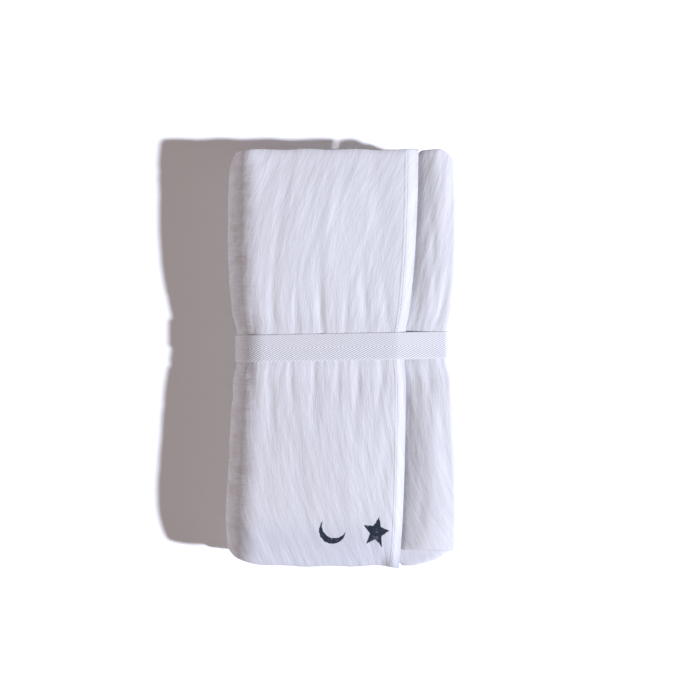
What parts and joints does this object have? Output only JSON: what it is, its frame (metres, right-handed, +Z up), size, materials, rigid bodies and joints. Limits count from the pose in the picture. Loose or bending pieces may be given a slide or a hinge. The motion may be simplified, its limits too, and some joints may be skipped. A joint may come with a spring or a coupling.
{
  "type": "swaddle blanket",
  "caption": "Folded muslin swaddle blanket: a flat oblong bundle of back-and-forth layers, with a rounded wrap on the left and a roll of folds on the right, drawn in by a ring of twill tape.",
  "frame": {"origin": "centre of the bundle's plan, on the surface it lies on", "axes": "+Z up through the layers, +Y along the bundle's length to its far end, +X to the side with the roll of folds"},
  "size_m": [0.141, 0.251, 0.0398],
  "materials": {
    "muslin": "crinkled white cotton muslin",
    "twill_tape": "white herringbone cotton twill"
  },
  "bodies": {
    "root": {"swaddle": "muslin", "tie_tape": "twill_tape"}
  },
  "joints": []
}
